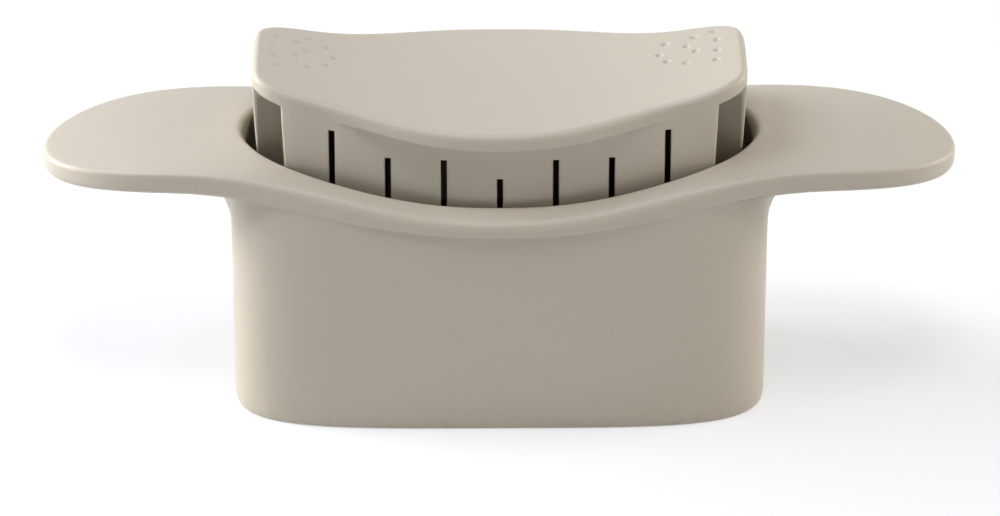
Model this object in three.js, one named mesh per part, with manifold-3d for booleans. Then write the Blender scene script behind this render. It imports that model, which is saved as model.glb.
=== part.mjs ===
// Hand-pressed potato cutter: a winged frame with a blade grid in its shaft, and a palm pusher.
// Millimetres, +Z up. The origin is the middle of the frame's foot, and X runs along the wings.
import * as THREE from 'three';
import { mergeVertices } from 'three/addons/utils/BufferGeometryUtils.js';
import Module from 'manifold-3d';

const wasm = await Module();
wasm.setup();

// Blade grid
const fryPitch = 13.2;
const crossBladesEachSide = 3;
const longBladesEachSide = 1;
const bladeThickness = 0.6;
const bladeHeight = 10;
const bladeEdgeLength = 1.6;
const bladeLowestEdge = 3;
const bladeStagger = 2;
const bladeFit = 0.3;
const lapGap = 0.3;
const crossBladeSeat = 0.9;
const longBladeSeat = 3;

// Slotted skirt of the pusher: its corners stand outside the last blades by the two margins
const skirtCornerMargin = 11.9;
const skirtSideMargin = 11.1;
const recessLength = 7;
const recessHalfDepth = 9.8;
const skirtFrontLength = 2 * (crossBladesEachSide * fryPitch + skirtCornerMargin);
const skirtMiddleDepth = 2 * (longBladesEachSide * fryPitch + skirtSideMargin);
const skirtLength = skirtFrontLength + 2 * recessLength;
const skirtWall = 2;
const skirtBulge = 3.3;
const skirtBulgeLength = 38;
const skirtBulgeShare = 1.5;
const skirtInset = 0.1;
const skirtTaper = 3;
const pusherFoot = 15.5;
const pusherTravel = 14.8;
const slotWidth = 1.4;
const slotLowestTop = 64.7;
const slotStep = 4.7;
const slotStepShare = 1.23;
const longSlotTop = 60;

// Palm plate of the pusher, which stands over the skirt all round
const plateEndOverhang = 0.2;
const plateCornerOverhang = 10.8;
const plateMiddleOverhang = 5.5;
const plateLength = skirtLength + 2 * plateEndOverhang;
const plateEndDepth = 2 * (recessHalfDepth + plateCornerOverhang);
const plateMiddleDepth = skirtMiddleDepth + 2 * plateMiddleOverhang;
const plateBlendLength = 45.3;
const plateBlendShare = 1.2;
const plateCornerShare = 5.2;
const plateLowHeight = 78.7;
const plateRise = 6.3;
const plateRiseLength = 51.6;
const plateRiseShare = 2.2;
const plateThickness = 4;
const plateEdgeRadius = 1.7;
const plateShares = [0.08, 0.35, 0.65, 0.9];

// Carrier and clamp rings that hold the blades
const carrierFoot = 1;
const carrierHeight = 10;
const clampHeight = 6.4;
const ringFit = 0.3;
const ringBackWall = 0.5;
const ringEndWall = 4.9;
const runningGap = 0.6;

// Shaft of the frame: it goes round the rings, which go round the skirt
const shaftWall = 2.6;
const ringSideWidth = crossBladeSeat + bladeFit + ringBackWall;
const shaftLength = skirtLength + 2 * (runningGap + ringEndWall + ringFit);
const shaftDepth = skirtMiddleDepth + 2 * (runningGap + ringSideWidth + ringFit + shaftWall);
const shaftSquareness = 4.3;
const footRadius = 0.8;
const footHeight = 0;

// Mouth, where the pusher goes in
const mouthEndGap = 2;
const mouthSideGap = 1;
const mouthLength = skirtLength + 2 * mouthEndGap;
const mouthDepth = skirtMiddleDepth + 2 * mouthSideGap;
const mouthSquareness = 3.6;
const mouthRoundness = 2.4;
const mouthNeckHeight = 45;
const mouthLowHeight = 58.2;
const mouthHighHeight = 67;
const mouthRiseLength = 64;
const mouthRiseShare = 1.15;
const mouthSideFillet = 1.2;
const mouthEndFillet = 1.8;
const mouthEndFilletDrop = 3.2;
const mouthEndShare = 60;

// Rim lip and the two wings
const wingLength = 44.9;
const wingDepth = 48;
const wingRootGap = 1.2;
const wingSpan = shaftLength + 2 * wingLength;
const wingRootX = shaftLength / 2 + wingRootGap;
const wingRoundShare = 2.5;
const rimOverhang = 1.7;
const rimDepth = shaftDepth + 2 * rimOverhang;
const rimBlendLength = 78;
const rimBlendShare = 1.5;
const lipLowHeight = 52.35;
const lipHighHeight = 60.2;
const lipRiseLength = 73;
const lipRiseShare = 1.05;
const lipThickness = 5.6;
const lipMiddleThickness = 3.2;
const lipTopRadius = 1.5;
const lipUnderRadius = 2.2;
const lipTopShare = 0.42;
const lipUnderShare = 0.56;
const lipOverhangShare = 0.78;
const wingDroop = 3.6;
const wingDroopLength = 37;
const wingSpreadShare = 8;
const crownShares = [0.4, 0.75, 1];

// Flare that carries each wing
const flareReach = 20;
const flareDrop = 19;
const flareHalfDepth = 17;
const flareNeckReach = 1;
const flareNeckDrop = 1;
const flareSwellShare = 1.5;

// Posts and screws, in the corners that the skirt leaves free
const postRadius = 3.3;
const postEndGap = 4.5;
const postSideGap = 5.6;
const postX = skirtFrontLength / 2 + postEndGap;
const postY = recessHalfDepth + postSideGap;
const postTop = 44;
const postWebThickness = 2.4;
const postWebSetback = 1.1;
const screwDiameter = 3;
const screwHeadDiameter = 5.4;
const screwHeadHeight = 1.8;
const screwFit = 0.3;
const screwBite = 8;
const driverWidth = 0.8;
const driverLength = 3.4;
const driverDepth = 0.9;

// Ram with its fingers
const ramFit = 0.3;
const ramWall = 1.2;
const ramFloor = 3.5;
const ramDeckFoot = 33;
const ramDeckHeight = 3;
const ramSlotWidth = 2.4;
const bossRadius = 2.8;

// Counts of steps on the curved faces
const frameSteps = 96;
const plateSteps = 64;
const ringSteps = 48;
const frontSteps = 10;
const roundSteps = 16;
const filletSteps = 4;
const noseSteps = 3;
const evenShare = 0.85;

// One overrun serves every cut
const overrun = 2;

const shellPlastic = { color: 0xc9c1b4, roughness: 0.46, metalness: 0 };
const innerPlastic = { color: 0xb9b1a4, roughness: 0.55, metalness: 0 };
const bladeSteel = { color: 0xc9cdd0, roughness: 0.24, metalness: 1 };
const screwSteel = { color: 0xa9acae, roughness: 0.35, metalness: 1 };

// Solids and meshes
function toSolid(geometry) {
  geometry.deleteAttribute('normal');
  geometry.deleteAttribute('uv');
  const merged = mergeVertices(geometry);
  const vertProperties = new Float32Array(merged.attributes.position.array);
  const triVerts = new Uint32Array(merged.index.array);
  return new wasm.Manifold(new wasm.Mesh({ numProp: 3, vertProperties, triVerts }));
}

function toGeometry(solid) {
  const { vertProperties, triVerts } = solid.getMesh();
  const geometry = new THREE.BufferGeometry();
  geometry.setAttribute('position', new THREE.BufferAttribute(vertProperties, 3));
  geometry.setIndex(new THREE.BufferAttribute(triVerts, 1));
  geometry.computeVertexNormals();
  return geometry;
}

function namedMesh(name, solid, finish) {
  const mesh = new THREE.Mesh(toGeometry(solid), new THREE.MeshStandardMaterial(finish));
  mesh.name = name;
  return mesh;
}

function box(low, high) {
  const size = new THREE.Vector3().subVectors(high, low);
  const middle = new THREE.Vector3().addVectors(low, high).multiplyScalar(1 / 2);
  const geometry = new THREE.BoxGeometry(size.x, size.y, size.z);
  return toSolid(geometry.translate(middle.x, middle.y, middle.z));
}

function upright(radius, x, y, bottom, top) {
  const geometry = new THREE.CylinderGeometry(radius, radius, top - bottom, roundSteps);
  geometry.rotateX(Math.PI / 2);
  return toSolid(geometry.translate(x, y, (bottom + top) / 2));
}

function addAll(first, others) {
  return others.reduce((sum, other) => sum.add(other), first);
}

function cutAll(first, others) {
  return others.reduce((rest, other) => rest.subtract(other), first);
}

// A skin over rings of points that run anticlockwise, outer faces going down. Joined rings close on
// themselves like a tyre; otherwise the first ring is capped on top and the last below.
function skin(rings, joined) {
  const count = rings[0].length;
  const points = rings.flat();
  const faces = [];
  const bands = joined ? rings.length : rings.length - 1;
  for (let band = 0; band < bands; band += 1) {
    const here = band * count;
    const next = ((band + 1) % rings.length) * count;
    for (let i = 0; i < count; i += 1) {
      const j = (i + 1) % count;
      faces.push(here + i, next + i, next + j);
      faces.push(here + i, next + j, here + j);
    }
  }
  if (!joined) {
    const last = (rings.length - 1) * count;
    points.push(centreOf(rings[0]), centreOf(rings[rings.length - 1]));
    for (let i = 0; i < count; i += 1) {
      const j = (i + 1) % count;
      faces.push(points.length - 2, i, j);
      faces.push(points.length - 1, last + j, last + i);
    }
  }
  const geometry = new THREE.BufferGeometry().setFromPoints(points);
  geometry.setIndex(faces);
  return toSolid(geometry);
}

function centreOf(ring) {
  const sum = ring.reduce((total, point) => total.add(point), new THREE.Vector3());
  return sum.multiplyScalar(1 / ring.length);
}

// Outlines of the frame and the plate, as places round the piece
function roundShares(steps) {
  const places = [];
  for (let i = 0; i < steps; i += 1) {
    const even = (2 * Math.PI * i) / steps;
    const turn = even - (evenShare * Math.sin(4 * even)) / 4;
    const along = Math.abs(Math.cos(turn)) ** (2 / shaftSquareness);
    places.push({ along, sideX: Math.sign(Math.cos(turn)), sideY: Math.sign(Math.sin(turn)) });
  }
  return places;
}

function oval(place, length, depth, squareness, roundness = squareness) {
  const x = (length / 2) * place.along;
  const y = (depth / 2) * Math.max(0, 1 - place.along ** squareness) ** (1 / roundness);
  return new THREE.Vector2(x * place.sideX, y * place.sideY);
}

// One at the start, nought at the length, with a level start and end
function fade(distance, length, share) {
  const run = Math.min(1, Math.abs(distance) / length) ** share;
  return (1 + Math.cos(Math.PI * run)) / 2;
}

function wingHalfDepth(x) {
  const out = Math.max(0, Math.abs(x) - wingRootX) / (wingSpan / 2 - wingRootX);
  const wing = (wingDepth / 2) * Math.sqrt(Math.max(0, 1 - out ** wingRoundShare));
  return wing + ((rimDepth - wingDepth) / 2) * fade(x, rimBlendLength, rimBlendShare);
}

function shaftHalfDepth(x) {
  const share = Math.min(1, Math.abs(x) / (shaftLength / 2));
  return (shaftDepth / 2) * (1 - share ** shaftSquareness) ** (1 / shaftSquareness);
}

// How far the lip stands out from the shaft, front and back
function lipOverhang(x) {
  return wingHalfDepth(x) - shaftHalfDepth(x);
}

function lipOutline(place) {
  const spread = place.along ** wingSpreadShare;
  const x = (shaftLength / 2) * place.along + ((wingSpan - shaftLength) / 2) * spread;
  return new THREE.Vector2(x * place.sideX, wingHalfDepth(x) * place.sideY);
}

function crestHeight(x) {
  const rise = mouthHighHeight - mouthLowHeight;
  return mouthHighHeight - rise * fade(x, mouthRiseLength, mouthRiseShare);
}

function lipBottom(x) {
  const rise = lipHighHeight - lipLowHeight;
  const beyond = Math.max(0, Math.abs(x) - lipRiseLength) / wingDroopLength;
  return lipHighHeight - rise * fade(x, lipRiseLength, lipRiseShare) - wingDroop * beyond ** 2;
}

function lipDepth(x) {
  const loss = lipThickness - lipMiddleThickness;
  return lipThickness - loss * fade(x, lipRiseLength, lipRiseShare);
}

function outwardNormals(outline) {
  const count = outline.length;
  return outline.map((point, i) => {
    const ahead = outline[(i + 1) % count];
    const behind = outline[(i + count - 1) % count];
    const along = new THREE.Vector2().subVectors(ahead, behind).normalize();
    return new THREE.Vector2(along.y, -along.x);
  });
}

function moved(point, normal, distance) {
  return new THREE.Vector2(point.x + normal.x * distance, point.y + normal.y * distance);
}

// The frame's outlines and their outward normals, place by place
function frameOutlines() {
  const places = roundShares(frameSteps);
  const mouth = places.map((place) =>
    oval(place, mouthLength, mouthDepth, mouthSquareness, mouthRoundness));
  const shaft = places.map((place) => oval(place, shaftLength, shaftDepth, shaftSquareness));
  const lip = places.map((place) => lipOutline(place));
  return {
    places,
    inner: places.map((place) => innerWall(place, 0)),
    mouth,
    mouthOut: outwardNormals(mouth),
    shaft,
    shaftOut: outwardNormals(shaft),
    lip,
    lipOut: outwardNormals(lip),
  };
}

function atHeight(point, height) {
  return new THREE.Vector3(point.x, point.y, height);
}

// The mouth's rounded edge, from the neck up to the crest, wider at the two ends
function mouthRings({ places, mouth, mouthOut }) {
  return quarterTurns().map((turn) => places.map((place, i) => {
    const endShare = place.along ** mouthEndShare;
    const reach = mouthSideFillet + (mouthEndFillet - mouthSideFillet) * endShare;
    const drop = mouthSideFillet + (mouthEndFilletDrop - mouthSideFillet) * endShare;
    const point = moved(mouth[i], mouthOut[i], reach * (1 - Math.cos(turn)));
    return atHeight(point, crestHeight(mouth[i].x) - drop * (1 - Math.sin(turn)));
  }));
}

// The lip's corner before rounding, where the crown's slope would meet the upright edge
function lipCorner(edge) {
  return atHeight(edge, lipBottom(edge.x) + lipDepth(edge.x));
}

// The rim and the tops of the wings, from the crest out to the lip: the rim slopes evenly down,
// and the wings bow over
function crownRings({ lip }, crest) {
  return crownShares.map((share) => crest.map((from, i) => {
    const corner = lipCorner(lip[i]);
    const run = Math.hypot(corner.x - from.x, corner.y - from.y);
    const part = share * (1 - lipTopRadius / run);
    const ridge = fade(lip[i].x, lipRiseLength, lipRiseShare);
    const slope = ridge * part + (1 - ridge) * part ** 2;
    const point = new THREE.Vector3().lerpVectors(from, corner, part);
    return point.setZ(from.z - (from.z - corner.z) * slope);
  }));
}

// The lip's nose: rounded over at the top, upright, then rounded under
function noseRings({ lip, lipOut }, crown) {
  const shares = Array.from({ length: noseSteps }, (_, step) => (step + 1) / noseSteps);
  const top = shares.map((share) => lip.map((edge, i) => {
    const corner = lipCorner(edge);
    const drop = Math.min(lipTopRadius, lipTopShare * lipDepth(edge.x));
    return rounded(crown[i], corner, corner.clone().setZ(corner.z - drop), share);
  }));
  const under = [0, ...shares].map((share) => lip.map((edge, i) => {
    const corner = atHeight(edge, lipBottom(edge.x));
    const rise = Math.min(lipUnderRadius, lipUnderShare * lipDepth(edge.x));
    const inner = atHeight(moved(edge, lipOut[i], -underReach(edge.x)), corner.z);
    return rounded(corner.clone().setZ(corner.z + rise), corner, inner, share);
  }));
  return [...top, ...under];
}

// A place on the round from the first point to the last, drawn towards the corner
function rounded(first, corner, last, share) {
  return new THREE.QuadraticBezierCurve3(first, corner, last).getPoint(share);
}

// Along the shaft the lip's lower round is limited by how far the lip stands out
function underReach(x) {
  const onWing = Math.abs(x) > shaftLength / 2;
  return onWing ? lipUnderRadius : Math.min(lipUnderRadius, lipOverhang(x) * lipOverhangShare);
}

// The underside: it sweeps down from the lip into the shaft, deepest under the wings
function flareRings({ shaft, shaftOut }) {
  return quarterTurns().map((turn) => shaft.map((wall, i) => {
    const swell = Math.max(0, 1 - (wall.y / flareHalfDepth) ** 2) ** flareSwellShare;
    const full = flareNeckReach + (flareReach - flareNeckReach) * swell;
    const room = (lipOverhang(wall.x) * (1 - lipOverhangShare)) / Math.abs(shaftOut[i].y);
    const drop = flareNeckDrop + (flareDrop - flareNeckDrop) * swell;
    const point = moved(wall, shaftOut[i], Math.min(room, full) * (1 - Math.sin(turn)));
    return atHeight(point, lipBottom(point.x) - drop * (1 - Math.cos(turn)));
  }));
}

function quarterTurns() {
  return Array.from({ length: filletSteps + 1 }, (_, step) => ((Math.PI / 2) * step) / filletSteps);
}

// The frame: rings from the inner foot up, over the mouth and the lip, and down the outside
function frameShell() {
  const outlines = frameOutlines();
  const { inner, shaft, shaftOut } = outlines;
  const mouth = mouthRings(outlines);
  const crown = crownRings(outlines, mouth[mouth.length - 1]);
  return skin([
    inner.map((point) => atHeight(point, footHeight)),
    inner.map((point) => atHeight(point, mouthNeckHeight)),
    ...mouth,
    ...crown,
    ...noseRings(outlines, crown[crown.length - 1]),
    ...flareRings(outlines),
    shaft.map((point) => atHeight(point, footRadius)),
    shaft.map((point, i) => atHeight(moved(point, shaftOut[i], -footRadius), footHeight)),
  ], true);
}

function innerWall(place, fit) {
  const length = shaftLength - 2 * (shaftWall + fit);
  const depth = shaftDepth - 2 * (shaftWall + fit);
  return oval(place, length, depth, shaftSquareness);
}

function fourCorners(make) {
  const corners = [];
  for (const sideX of [-1, 1]) {
    for (const sideY of [-1, 1]) {
      corners.push(make(sideX, sideY));
    }
  }
  return corners;
}

function frame() {
  const bottom = ringTop();
  const posts = fourCorners((sideX, sideY) => {
    const post = upright(postRadius, sideX * postX, sideY * postY, bottom, postTop);
    const webEnd = shaftLength / 2 - shaftWall - postWebSetback;
    const ends = [sideX * postX, sideX * webEnd];
    const low = new THREE.Vector3(Math.min(...ends), sideY * postY - postWebThickness / 2, bottom);
    const high = new THREE.Vector3(Math.max(...ends), sideY * postY + postWebThickness / 2, postTop);
    return post.add(box(low, high));
  });
  const bores = fourCorners((sideX, sideY) => {
    const top = bottom + screwBite + overrun;
    const radius = screwDiameter / 2 + screwFit;
    return upright(radius, sideX * postX, sideY * postY, bottom - overrun, top);
  });
  return cutAll(addAll(frameShell(), posts), bores);
}

// The pusher's footprint, grown by an offset, at a height that sets its taper
function plateHalfDepth(x) {
  const share = Math.min(1, Math.abs(x) / (plateLength / 2));
  const spread = fade(x, plateBlendLength, plateBlendShare);
  const middle = ((plateMiddleDepth - plateEndDepth) / 2) * spread;
  const corner = (1 - share ** plateCornerShare) ** (1 / plateCornerShare);
  return (plateEndDepth / 2 + middle) * corner;
}

function plateTop(x) {
  return plateLowHeight + plateRise * (Math.abs(x) / plateRiseLength) ** plateRiseShare;
}

function skirtHalfDepth(x) {
  const bulge = skirtMiddleDepth / 2 - skirtBulge * (Math.abs(x) / skirtBulgeLength) ** skirtBulgeShare;
  return Math.min(bulge, plateHalfDepth(x) - skirtInset);
}

function taperShare(height) {
  const depth = (plateLowHeight - height) / (plateLowHeight - pusherFoot);
  return 1 - (skirtTaper / (skirtFrontLength / 2)) * depth;
}

function footprint(offset, height) {
  const share = taperShare(height);
  const frontX = (skirtFrontLength / 2) * share + offset;
  const endX = (skirtLength / 2) * share + offset;
  const quarter = [
    new THREE.Vector2(endX, recessHalfDepth + offset),
    new THREE.Vector2(frontX, recessHalfDepth + offset),
  ];
  for (let step = frontSteps; step >= 0; step -= 1) {
    const part = step / frontSteps;
    const depth = skirtHalfDepth((skirtFrontLength / 2) * part);
    quarter.push(new THREE.Vector2(frontX * part, depth + offset));
  }
  const mirrored = (list, sideX, sideY) =>
    list.map((point) => new THREE.Vector2(point.x * sideX, point.y * sideY));
  const inside = quarter.slice(0, -1);
  return [
    ...quarter,
    ...mirrored(inside, -1, 1).reverse(),
    ...mirrored(quarter, -1, -1),
    ...mirrored(inside, 1, -1).reverse(),
  ];
}

function prism(outline, bottom, top) {
  const geometry = new THREE.ExtrudeGeometry(new THREE.Shape(outline), {
    depth: top - bottom,
    bevelEnabled: false,
  });
  return toSolid(geometry.translate(0, 0, bottom));
}

// Blades
function crossLevel(index) {
  return Math.ceil(Math.abs(index) / 2);
}

function crossEdge(index) {
  return bladeLowestEdge + bladeStagger * crossLevel(index);
}

function longEdge() {
  return bladeLowestEdge + bladeStagger;
}

function lapHeight() {
  return longEdge() + bladeHeight / 2;
}

function countsFrom(eachSide) {
  return Array.from({ length: 2 * eachSide + 1 }, (_, i) => i - eachSide);
}

// The rings let the pusher through at the bottom of its travel
function ringHole() {
  return footprint(runningGap, ringTop() + pusherTravel);
}

function ringTop() {
  return carrierFoot + carrierHeight + clampHeight;
}

function crossReach(index) {
  return skirtHalfDepth(index * fryPitch) + runningGap + crossBladeSeat;
}

function longReach(index) {
  const share = taperShare(ringTop() + pusherTravel);
  const wall = index === 0 ? skirtLength / 2 : skirtFrontLength / 2;
  return wall * share + runningGap + longBladeSeat;
}

// A strip standing on its cutting edge, along X, its lower edge at the given height
function strip(halfLength, edge) {
  const section = new THREE.Shape([
    new THREE.Vector2(-bladeThickness / 2, edge + bladeHeight),
    new THREE.Vector2(-bladeThickness / 2, edge + bladeEdgeLength),
    new THREE.Vector2(-bladeThickness / 8, edge),
    new THREE.Vector2(bladeThickness / 8, edge),
    new THREE.Vector2(bladeThickness / 2, edge + bladeEdgeLength),
    new THREE.Vector2(bladeThickness / 2, edge + bladeHeight),
  ]);
  const geometry = new THREE.ExtrudeGeometry(section, { depth: 2 * halfLength, bevelEnabled: false });
  geometry.translate(0, 0, -halfLength).rotateX(Math.PI / 2).rotateZ(Math.PI / 2);
  return geometry;
}

function lapCut(x, y, bottom, top) {
  const half = bladeThickness / 2 + bladeFit;
  return box(new THREE.Vector3(x - half, y - half, bottom), new THREE.Vector3(x + half, y + half, top));
}

function crossBlade(index) {
  const x = index * fryPitch;
  const blade = strip(crossReach(index), crossEdge(index)).rotateZ(Math.PI / 2).translate(x, 0, 0);
  const laps = countsFrom(longBladesEachSide).map((row) =>
    lapCut(x, row * fryPitch, lapHeight() - lapGap, crossEdge(index) + bladeHeight + overrun));
  return cutAll(toSolid(blade), laps);
}

function longBlade(index) {
  const y = index * fryPitch;
  const blade = strip(longReach(index), longEdge()).translate(0, y, 0);
  const laps = countsFrom(crossBladesEachSide).map((column) =>
    lapCut(column * fryPitch, y, longEdge() - overrun, lapHeight()));
  return cutAll(toSolid(blade), laps);
}

// Room for each blade end in the rings: its floor is the blade's own lower edge
function bladePockets() {
  const half = bladeThickness / 2 + bladeFit;
  const cross = countsFrom(crossBladesEachSide).map((index) => {
    const reach = crossReach(index) + bladeFit;
    const x = index * fryPitch;
    const low = new THREE.Vector3(x - half, -reach, crossEdge(index));
    return box(low, new THREE.Vector3(x + half, reach, crossEdge(index) + bladeHeight + bladeFit));
  });
  const long = countsFrom(longBladesEachSide).map((index) => {
    const reach = longReach(index) + bladeFit;
    const y = index * fryPitch;
    const low = new THREE.Vector3(-reach, y - half, longEdge());
    return box(low, new THREE.Vector3(reach, y + half, longEdge() + bladeHeight + bladeFit));
  });
  return [...cross, ...long];
}

function bladeRing(bottom, top) {
  const outline = roundShares(ringSteps).map((place) => innerWall(place, ringFit));
  const hole = prism(ringHole(), bottom - overrun, top + overrun);
  const bores = fourCorners((sideX, sideY) => {
    const radius = screwDiameter / 2 + screwFit;
    return upright(radius, sideX * postX, sideY * postY, bottom - overrun, top + overrun);
  });
  return cutAll(prism(outline, bottom, top).subtract(hole), [...bladePockets(), ...bores]);
}

function bladeCarrier() {
  const sinks = fourCorners((sideX, sideY) => {
    const radius = screwHeadDiameter / 2 + screwFit;
    const top = carrierFoot + screwHeadHeight;
    return upright(radius, sideX * postX, sideY * postY, carrierFoot - overrun, top);
  });
  return cutAll(bladeRing(carrierFoot, carrierFoot + carrierHeight), sinks);
}

function bladeClamp() {
  return bladeRing(carrierFoot + carrierHeight, ringTop());
}

// A screw with its head below, turned on its axis, with a cross recess for the driver
function screw(x, y, headBottom, tip) {
  const headTop = headBottom + screwHeadHeight;
  const profile = [
    new THREE.Vector2(0, headBottom),
    new THREE.Vector2(screwHeadDiameter / 2, headBottom),
    new THREE.Vector2(screwHeadDiameter / 2, headTop),
    new THREE.Vector2(screwDiameter / 2, headTop),
    new THREE.Vector2(screwDiameter / 2, tip - screwDiameter / 2),
    new THREE.Vector2(0, tip),
  ];
  const body = new THREE.LatheGeometry(profile, roundSteps).rotateX(Math.PI / 2);
  const slots = [[driverLength, driverWidth], [driverWidth, driverLength]].map(([wide, deep]) => {
    const low = new THREE.Vector3(x - wide / 2, y - deep / 2, headBottom - overrun);
    return box(low, new THREE.Vector3(x + wide / 2, y + deep / 2, headBottom + driverDepth));
  });
  return cutAll(toSolid(body.translate(x, y, 0)), slots);
}

// Pusher
function palmPlate() {
  const places = roundShares(plateSteps);
  const outline = places.map((place) => {
    const x = (plateLength / 2) * place.along;
    return new THREE.Vector2(x * place.sideX, plateHalfDepth(x) * place.sideY);
  });
  const out = outwardNormals(outline);
  const ringAt = (inset, share, drop) => outline.map((point, i) => {
    const edge = moved(point, out[i], -inset);
    return new THREE.Vector3(edge.x * share, edge.y * share, plateTop(edge.x * share) - drop);
  });
  const rings = plateShares.map((share) => ringAt(plateEdgeRadius, share, 0));
  for (let step = 0; step <= filletSteps; step += 1) {
    const turn = ((Math.PI / 2) * step) / filletSteps;
    const inset = plateEdgeRadius * (1 - Math.sin(turn));
    rings.push(ringAt(inset, 1, plateEdgeRadius * (1 - Math.cos(turn))));
  }
  rings.push(ringAt(0, 1, plateThickness));
  for (const share of [...plateShares].reverse()) {
    rings.push(ringAt(0, share, plateThickness));
  }
  return skin(rings, false);
}

function slottedSkirt() {
  const top = (point) => plateTop(point.x) - plateThickness / 2;
  const raised = (outline) => outline.map((point) => new THREE.Vector3(point.x, point.y, top(point)));
  const lowered = (outline) => outline.map((point) => new THREE.Vector3(point.x, point.y, pusherFoot));
  const shell = skin([
    raised(footprint(0, plateLowHeight)),
    lowered(footprint(0, pusherFoot)),
    lowered(footprint(-skirtWall, pusherFoot)),
    raised(footprint(-skirtWall, plateLowHeight)),
  ], true);
  const foot = pusherFoot - overrun;
  const cross = countsFrom(crossBladesEachSide).map((index) => {
    const x = index * fryPitch;
    const low = new THREE.Vector3(x - slotWidth / 2, -shaftDepth / 2, foot);
    const high = slotLowestTop + slotStep * crossLevel(index) ** slotStepShare;
    return box(low, new THREE.Vector3(x + slotWidth / 2, shaftDepth / 2, high));
  });
  const long = countsFrom(longBladesEachSide).map((index) => {
    const y = index * fryPitch;
    const low = new THREE.Vector3(-shaftLength / 2, y - slotWidth / 2, foot);
    return box(low, new THREE.Vector3(shaftLength / 2, y + slotWidth / 2, longSlotTop));
  });
  return cutAll(shell, [...cross, ...long]);
}

function bossPlaces() {
  const column = crossBladesEachSide - 1 / 2;
  return fourCorners((sideX, sideY) => [sideX * column * fryPitch, (sideY * fryPitch) / 2]);
}

function pusherCover() {
  const floor = pusherFoot + ramFloor;
  const bosses = bossPlaces().map(([x, y]) =>
    upright(bossRadius, x, y, floor, plateTop(x) - plateThickness / 2));
  const bores = bossPlaces().map(([x, y]) =>
    upright(screwDiameter / 2 + screwFit, x, y, floor - overrun, floor + screwBite + overrun));
  return cutAll(addAll(palmPlate().add(slottedSkirt()), bosses), bores);
}

function pusherRam() {
  const top = ramDeckFoot + ramDeckHeight;
  const half = ramSlotWidth / 2;
  const inset = -skirtWall - ramFit;
  const foot = pusherFoot - overrun;
  const block = prism(footprint(inset, pusherFoot), pusherFoot, top);
  const cross = countsFrom(crossBladesEachSide).map((index) => {
    const x = index * fryPitch;
    const low = new THREE.Vector3(x - half, -shaftDepth / 2, foot);
    return box(low, new THREE.Vector3(x + half, shaftDepth / 2, ramDeckFoot));
  });
  const long = countsFrom(longBladesEachSide).map((index) => {
    const y = index * fryPitch;
    const low = new THREE.Vector3(-shaftLength / 2, y - half, foot);
    return box(low, new THREE.Vector3(shaftLength / 2, y + half, ramDeckFoot));
  });
  return cutAll(block, [...cross, ...long, cups(top), ...ramHoles()]);
}

// The hollows in the fingers, open at the top: the block less its walls between the blades
function cups(top) {
  const inset = -skirtWall - ramFit - ramWall;
  const room = prism(footprint(inset, pusherFoot), pusherFoot + ramFloor, top + overrun);
  const half = ramSlotWidth / 2 + ramWall;
  const cross = countsFrom(crossBladesEachSide).map((index) => {
    const x = index * fryPitch;
    const low = new THREE.Vector3(x - half, -shaftDepth / 2, footHeight);
    return box(low, new THREE.Vector3(x + half, shaftDepth / 2, top + 2 * overrun));
  });
  const long = countsFrom(longBladesEachSide).map((index) => {
    const y = index * fryPitch;
    const low = new THREE.Vector3(-shaftLength / 2, y - half, footHeight);
    return box(low, new THREE.Vector3(shaftLength / 2, y + half, top + 2 * overrun));
  });
  return cutAll(room, [...cross, ...long]);
}

function ramHoles() {
  return bossPlaces().flatMap(([x, y]) => [
    upright(screwDiameter / 2 + screwFit, x, y, pusherFoot - overrun, pusherFoot + ramFloor + overrun),
    upright(screwHeadDiameter / 2 + screwFit, x, y, pusherFoot - overrun, pusherFoot + screwHeadHeight),
  ]);
}

// The object
function frameGroup() {
  const group = new THREE.Group();
  group.add(namedMesh('cutter_frame', frame(), shellPlastic));
  group.add(namedMesh('blade_carrier', bladeCarrier(), innerPlastic));
  group.add(namedMesh('blade_clamp', bladeClamp(), innerPlastic));
  for (const index of countsFrom(crossBladesEachSide)) {
    const number = index + crossBladesEachSide + 1;
    group.add(namedMesh(`cross_blade_${number}`, crossBlade(index), bladeSteel));
  }
  for (const index of countsFrom(longBladesEachSide)) {
    const number = index + longBladesEachSide + 1;
    group.add(namedMesh(`long_blade_${number}`, longBlade(index), bladeSteel));
  }
  const tip = ringTop() + screwBite;
  fourCorners((sideX, sideY) => [sideX * postX, sideY * postY]).forEach(([x, y], i) => {
    group.add(namedMesh(`carrier_screw_${i + 1}`, screw(x, y, carrierFoot, tip), screwSteel));
  });
  return group;
}

function pusherGroup() {
  const group = new THREE.Group();
  group.add(namedMesh('pusher_cover', pusherCover(), shellPlastic));
  group.add(namedMesh('pusher_ram', pusherRam(), innerPlastic));
  const tip = pusherFoot + ramFloor + screwBite;
  bossPlaces().forEach(([x, y], i) => {
    group.add(namedMesh(`ram_screw_${i + 1}`, screw(x, y, pusherFoot, tip), screwSteel));
  });
  return group;
}

const potatoCutter = new THREE.Group();
potatoCutter.add(frameGroup());
potatoCutter.add(pusherGroup());

export default potatoCutter;
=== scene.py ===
# Hand-pressed potato cutter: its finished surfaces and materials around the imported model.
# Metres, +Z up. The origin is the middle of the frame's foot, and X runs along the wings.
import math

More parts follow.
